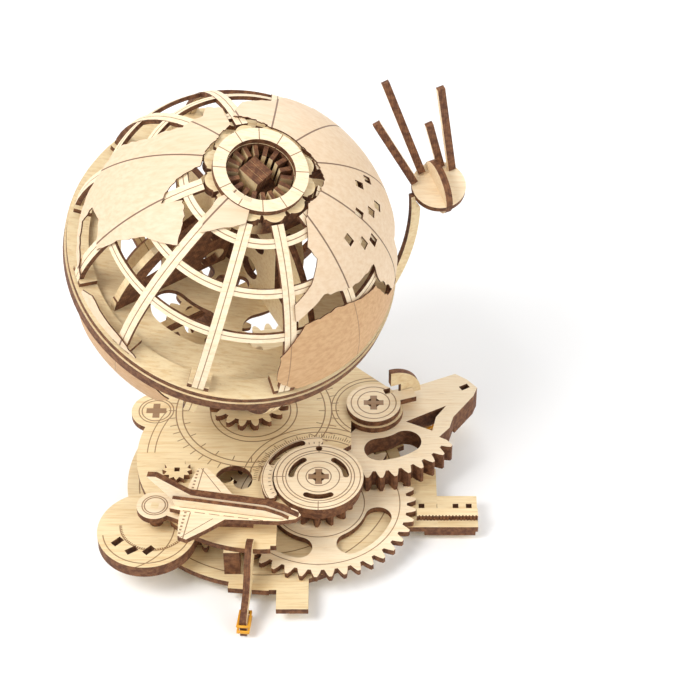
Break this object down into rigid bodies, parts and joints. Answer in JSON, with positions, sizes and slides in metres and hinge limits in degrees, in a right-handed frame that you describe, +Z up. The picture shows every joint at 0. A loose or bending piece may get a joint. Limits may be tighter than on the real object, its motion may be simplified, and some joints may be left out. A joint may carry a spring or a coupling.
{
  "type": "hand-cranked orrery",
  "caption": "Laser-cut plywood tellurion: a tilted ribbed globe, an orbiting probe and a circling shuttle turned by a squeezed lever and gears.",
  "frame": {"origin": "axis of the main upright shaft at the level of the table, on the underside of the centre foot", "axes": "+X to the right towards the squeezed lever, +Y away from the front leg, +Z up"},
  "size_m": [0.1818, 0.1805, 0.1942],
  "materials": {
    "birch": "satin",
    "veneer": "satin",
    "band": "satin"
  },
  "bodies": {
    "base": {"base_plate": "birch", "grip_block": "birch", "plate_posts": "birch", "top_plate": "birch", "corner_tab": "birch", "scale_arc": "birch", "hook_plate": "birch", "leg_front": "birch", "leg_left": "birch", "leg_right": "birch", "foot_bands": "band", "moon_disc": "birch", "moon_riser": "birch", "column": "birch", "tilt_bracket": "birch", "polar_axle": "birch", "centre_foot": "birch", "pivot_pin": "birch"},
    "lever": {"lever_bottom": "birch", "lever_middle": "birch", "lever_top": "birch", "lever_grip": "birch"},
    "ratchet": {"ratchet_pinion": "birch", "pawls": "birch"},
    "drive": {"main_gear": "birch", "main_axle": "birch", "ratchet_wheel": "birch", "dial": "birch"},
    "shaft": {"main_shaft": "birch", "main_pinion": "birch", "globe_pinion": "birch"},
    "idler": {"idler_gear": "birch"},
    "shuttle": {"shuttle_gear": "birch", "shuttle_axle": "birch", "shuttle_arm": "birch", "shuttle_wing": "birch", "shuttle_body": "birch"},
    "counter": {"counter_gear": "birch", "star_gear": "birch"},
    "orbit_drive": {"orbit_idler": "birch", "orbit_wheel": "birch"},
    "orbit": {"carrier_pinion": "birch", "carrier_sleeve": "birch", "orbit_arm": "birch", "probe_disc": "birch", "probe_cross": "birch", "probe_rods": "birch"},
    "globe": {"equator_plate": "birch", "ring_upper": "birch", "ring_lower": "birch", "north_ribs": "birch", "north_bands": "birch", "south_ribs": "birch", "ring_shoes": "birch", "pole_petals": "birch", "pole_ring": "birch", "pole_posts": "birch", "inner_frame": "birch", "globe_gear": "birch", "land_skin": "veneer"}
  },
  "joints": [
    {"name": "lever_swing", "type": "hinge", "parent": "base", "child": "lever", "pos_m": [0.05745, 0.00231, 0.018], "axis": [0, 0, 1], "range_deg": [-36, 6]},
    {"name": "ratchet_spin", "type": "hinge", "parent": "base", "child": "ratchet", "pos_m": [0.03252, -0.04559, 0.018], "axis": [0, 0, 1], "range_deg": [-20, 106]},
    {"name": "drive_spin", "type": "hinge", "parent": "base", "child": "drive", "pos_m": [0.03252, -0.04559, 0.011], "axis": [0, 0, 1], "continuous": true},
    {"name": "shaft_spin", "type": "hinge", "parent": "base", "child": "shaft", "pos_m": [0, 0, 0.03], "axis": [0, 0, 1], "continuous": true},
    {"name": "idler_spin", "type": "hinge", "parent": "base", "child": "idler", "pos_m": [-0.01855, -0.05975, 0.01], "axis": [0, 0, 1], "continuous": true},
    {"name": "shuttle_spin", "type": "hinge", "parent": "base", "child": "shuttle", "pos_m": [-0.03879, -0.06537, 0.01], "axis": [0, 0, 1], "continuous": true},
    {"name": "counter_spin", "type": "hinge", "parent": "base", "child": "counter", "pos_m": [-0.03091, -0.04036, 0.01], "axis": [0, 0, 1], "continuous": true},
    {"name": "orbit_drive_spin", "type": "hinge", "parent": "base", "child": "orbit_drive", "pos_m": [0.00994, 0.03251, 0.01], "axis": [0, 0, 1], "continuous": true},
    {"name": "orbit_spin", "type": "hinge", "parent": "base", "child": "orbit", "pos_m": [0, 0, 0.03], "axis": [0, 0, 1], "continuous": true},
    {"name": "globe_spin", "type": "hinge", "parent": "base", "child": "globe", "pos_m": [-0.004, -0.002, 0.123], "axis": [0.2172, -0.3344, 0.9171], "continuous": true}
  ],
  "couplings": [
    {"joint": "ratchet_spin", "follows": "lever_swing", "ratio": -2.8571},
    {"joint": "shaft_spin", "follows": "drive_spin", "ratio": -3},
    {"joint": "idler_spin", "follows": "drive_spin", "ratio": -3.8182},
    {"joint": "shuttle_spin", "follows": "drive_spin", "ratio": 4.2},
    {"joint": "counter_spin", "follows": "drive_spin", "ratio": 3.5},
    {"joint": "orbit_drive_spin", "follows": "drive_spin", "ratio": 2.1},
    {"joint": "orbit_spin", "follows": "drive_spin", "ratio": -3.85},
    {"joint": "globe_spin", "follows": "drive_spin", "ratio": 1.6667}
  ]
}
